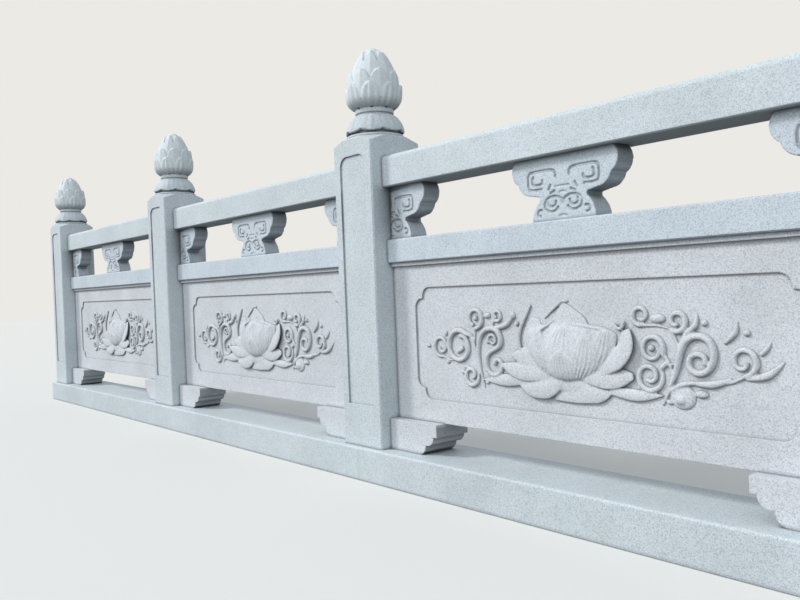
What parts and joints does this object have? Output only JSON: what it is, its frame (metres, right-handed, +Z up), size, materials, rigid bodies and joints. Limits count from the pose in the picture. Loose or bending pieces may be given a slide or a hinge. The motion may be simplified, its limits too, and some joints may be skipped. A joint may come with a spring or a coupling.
{
  "type": "carved stone balustrade",
  "caption": "Granite balustrade in bays: square posts with lotus-bud finials, handrails on cloud-shaped balusters, and panels carved with a lotus among scrolls, on long sill stones.",
  "frame": {"origin": "middle of the run on the underside of the sill, in the middle of the second bay", "axes": "+X along the balustrade to the right as seen from the front, +Y from the front to the back, +Z up"},
  "size_m": [4.73, 0.23, 1.322],
  "materials": {
    "sill_granite": "honed light grey granite, cool tone, fine speckle",
    "post_granite": "honed light grey granite, cool tone, fine speckle",
    "rail_granite": "honed light grey granite, cool tone, fine speckle",
    "panel_granite": "bush-hammered and carved light grey granite, slightly warmer tone"
  },
  "bodies": {
    "root": {"sill_stone_1": "sill_granite", "panel_stone_1": "panel_granite", "top_rail_1": "rail_granite", "cloud_baluster_1": "panel_granite", "half_baluster_left_1": "panel_granite", "half_baluster_right_1": "panel_granite", "bracket_foot_left_1": "panel_granite", "bracket_foot_right_1": "panel_granite", "sill_stone_2": "sill_granite", "panel_stone_2": "panel_granite", "top_rail_2": "rail_granite", "cloud_baluster_2": "panel_granite", "half_baluster_left_2": "panel_granite", "half_baluster_right_2": "panel_granite", "bracket_foot_left_2": "panel_granite", "bracket_foot_right_2": "panel_granite", "sill_stone_3": "sill_granite", "panel_stone_3": "panel_granite", "top_rail_3": "rail_granite", "cloud_baluster_3": "panel_granite", "half_baluster_left_3": "panel_granite", "half_baluster_right_3": "panel_granite", "bracket_foot_left_3": "panel_granite", "bracket_foot_right_3": "panel_granite", "post_1": "post_granite", "lotus_bud_finial_1": "post_granite", "post_2": "post_granite", "lotus_bud_finial_2": "post_granite", "post_3": "post_granite", "lotus_bud_finial_3": "post_granite", "post_4": "post_granite", "lotus_bud_finial_4": "post_granite"}
  },
  "joints": []
}
